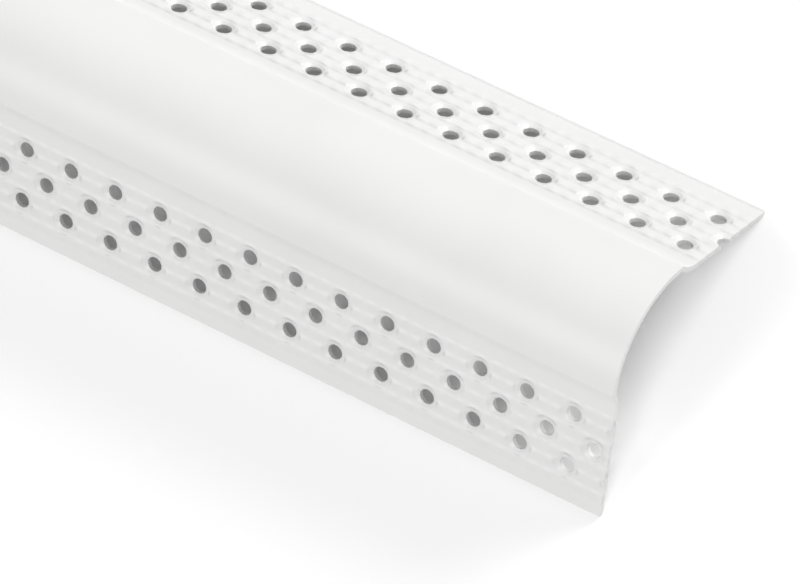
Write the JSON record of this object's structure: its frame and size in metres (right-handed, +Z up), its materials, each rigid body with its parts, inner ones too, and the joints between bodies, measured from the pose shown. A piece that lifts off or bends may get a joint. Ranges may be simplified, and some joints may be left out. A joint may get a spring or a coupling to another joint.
{
  "type": "bullnose drywall corner bead",
  "caption": "Long white plastic bullnose corner bead with a quarter-round nose between two perforated flanges, for finishing outside corners of drywall.",
  "frame": {"origin": "middle of the strip's length and width, on the floor under its two free edges", "axes": "+X along the strip towards the end that the picture shows, +Z up through the nose, -Y towards the flange that the picture shows in front"},
  "size_m": [2.4384, 0.0646, 0.0274],
  "materials": {
    "white_plastic": "satin, as extruded, unpainted"
  },
  "bodies": {
    "root": {"corner_bead": "white_plastic"}
  },
  "joints": []
}
